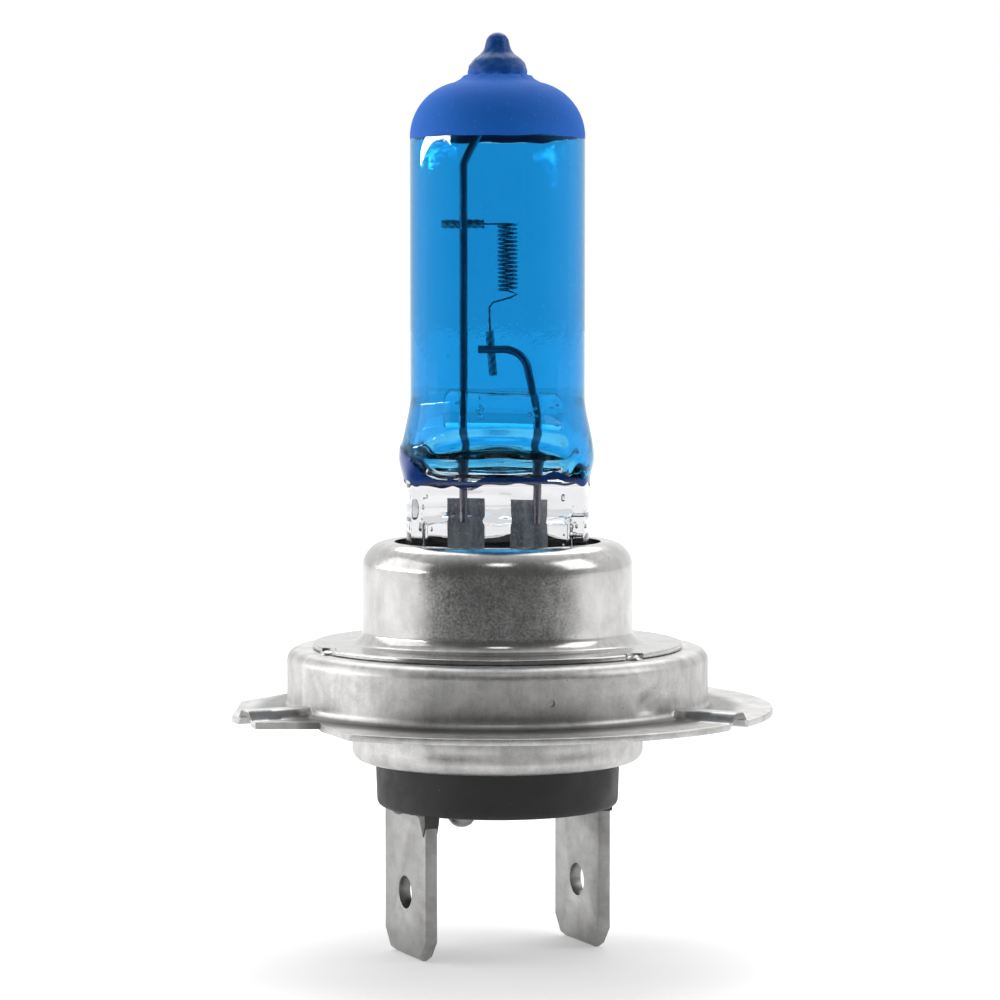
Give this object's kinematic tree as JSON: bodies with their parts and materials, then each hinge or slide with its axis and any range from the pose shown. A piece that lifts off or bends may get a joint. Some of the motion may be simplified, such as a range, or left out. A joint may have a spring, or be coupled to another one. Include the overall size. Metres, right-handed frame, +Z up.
{
  "type": "headlight bulb",
  "caption": "Halogen headlight bulb: blue-coated glass with an opaque tip on a round focusing flange, fed by flat blade contacts.",
  "frame": {"origin": "on the bulb axis, at the reference plane on which the flange's three bosses seat", "axes": "+Z up the bulb axis towards the exhaust tip; +X along the broad side of the press seal, with the flange's flat side at -X; the flange's notch is towards -X and -Y"},
  "size_m": [0.033, 0.034, 0.0566],
  "materials": {
    "quartz": "clear fused quartz, fire polished",
    "filter_coat": "transparent blue interference coat, glossy",
    "cap_paint": "matte opaque blue paint on glass, glossier at the tip",
    "tungsten": "drawn tungsten wire",
    "molybdenum": "drawn molybdenum wire and foil, satin",
    "nickel_steel": "pressed steel sheet, nickel plated, satin with bright rolled edges",
    "stainless_spring": "stainless spring sheet, satin",
    "ceramic": "charcoal moulded insulator, matte",
    "tab_metal": "nickel plated strip, satin, pitted edges",
    "rivet_metal": "plated rivet, satin",
    "resin": "dark brown potting resin"
  },
  "bodies": {
    "root": {"quartz_envelope": "quartz", "blue_filter_coat": "filter_coat", "opaque_cap_coat": "cap_paint", "filament_coil": "tungsten", "upper_leg_sleeve": "molybdenum", "lower_leg_sleeve": "molybdenum", "long_support_wire": "molybdenum", "short_support_wire": "molybdenum", "quartz_bridge": "quartz", "foil_left": "molybdenum", "foil_right": "molybdenum", "outer_lead_left": "molybdenum", "outer_lead_right": "molybdenum", "neck_cup": "nickel_steel", "ring_welds": "nickel_steel", "holder_plate": "stainless_spring", "holder_tongue_front": "stainless_spring", "holder_tongue_rear": "stainless_spring", "focus_ring": "nickel_steel", "base_shell": "nickel_steel", "contact_blade_left": "tab_metal", "contact_blade_right": "tab_metal", "blade_rivets": "rivet_metal", "insulator": "ceramic", "potting_resin": "resin"}
  },
  "joints": []
}
